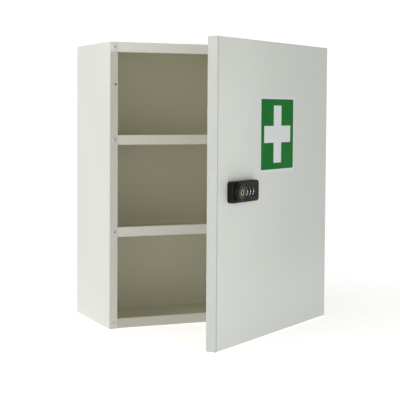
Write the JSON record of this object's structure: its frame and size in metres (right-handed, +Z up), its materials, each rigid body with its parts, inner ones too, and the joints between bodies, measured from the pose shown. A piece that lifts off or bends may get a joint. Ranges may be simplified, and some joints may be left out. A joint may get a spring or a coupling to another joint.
{
  "type": "medicine cabinet",
  "caption": "Steel wall cabinet for medicines, with tray shelves and a hinged pan door that carries a first-aid cross and locks with a combination cam lock with key override.",
  "frame": {"origin": "middle of the case's underside, where it would stand on a shelf", "axes": "+Z up, +Y towards the wall behind the case, +X to the right as seen from the front"},
  "size_m": [0.3501, 0.3758, 0.42],
  "materials": {
    "paint": "fine off-white powder coat, satin",
    "bare_steel": "bright zinc plate",
    "buffer_rubber": "soft grey rubber",
    "label_white": "white vinyl film, satin",
    "label_green": "printed green, satin",
    "black_plastic": "fine-grained black moulding",
    "wheel_plastic": "black with white painted digits",
    "lock_brass": "dull nickel-brass ring",
    "plug_nickel": "worn nickel plate"
  },
  "bodies": {
    "case": {"left_side_panel": "paint", "right_side_panel": "paint", "top_panel": "paint", "bottom_panel": "paint", "back_panel": "paint", "upper_shelf": "paint", "lower_shelf": "paint", "left_frame_rivets": "paint", "right_frame_rivets": "paint", "upper_hinge_case_leaf": "paint", "lower_hinge_case_leaf": "paint", "upper_hinge_pin": "bare_steel", "lower_hinge_pin": "bare_steel"},
    "door": {"door_panel": "paint", "upper_hinge_door_leaf": "paint", "lower_hinge_door_leaf": "paint", "door_buffers": "buffer_rubber", "label_film": "label_white", "label_green_print": "label_green", "lock_housing": "black_plastic", "lock_rear_cover": "black_plastic", "lock_screws": "bare_steel", "wheel_axle": "bare_steel", "wheel_detent_spring": "bare_steel"},
    "knob": {"lock_knob": "black_plastic", "key_cylinder": "lock_brass", "lock_spindle": "bare_steel", "lock_cam": "bare_steel", "cam_nut": "bare_steel"},
    "plug": {"key_plug": "plug_nickel"},
    "slide": {"blocking_slide": "bare_steel"},
    "left_wheel": {"left_number_wheel": "wheel_plastic"},
    "middle_wheel": {"middle_number_wheel": "wheel_plastic"},
    "right_wheel": {"right_number_wheel": "wheel_plastic"}
  },
  "joints": [
    {"name": "door_hinge", "type": "hinge", "parent": "case", "child": "door", "pos_m": [0.1728, -0.081, 0.21], "axis": [0, 0, 1], "range_deg": [-36, 144]},
    {"name": "knob_turn", "type": "hinge", "parent": "door", "child": "knob", "pos_m": [-0.05567, -0.27913, 0.212], "axis": [-0.5878, 0.809, 0], "range_deg": [0, 90]},
    {"name": "key_turn", "type": "hinge", "parent": "knob", "child": "plug", "pos_m": [-0.05273, -0.28318, 0.212], "axis": [-0.5878, 0.809, 0], "range_deg": [0, 90]},
    {"name": "slide_travel", "type": "slide", "parent": "door", "child": "slide", "axis": [0.809, 0.5878, 0], "range_m": [0, 0.0014]},
    {"name": "left_wheel_spin", "type": "hinge", "parent": "door", "child": "left_wheel", "pos_m": [-0.04099, -0.26192, 0.212], "axis": [0.809, 0.5878, 0], "continuous": true},
    {"name": "middle_wheel_spin", "type": "hinge", "parent": "door", "child": "middle_wheel", "pos_m": [-0.03403, -0.25686, 0.212], "axis": [0.809, 0.5878, 0], "continuous": true},
    {"name": "right_wheel_spin", "type": "hinge", "parent": "door", "child": "right_wheel", "pos_m": [-0.02708, -0.25181, 0.212], "axis": [0.809, 0.5878, 0], "continuous": true}
  ],
  "couplings": [
    {"joint": "slide_travel", "follows": "knob_turn", "m_per_rad": 0.00088948}
  ]
}
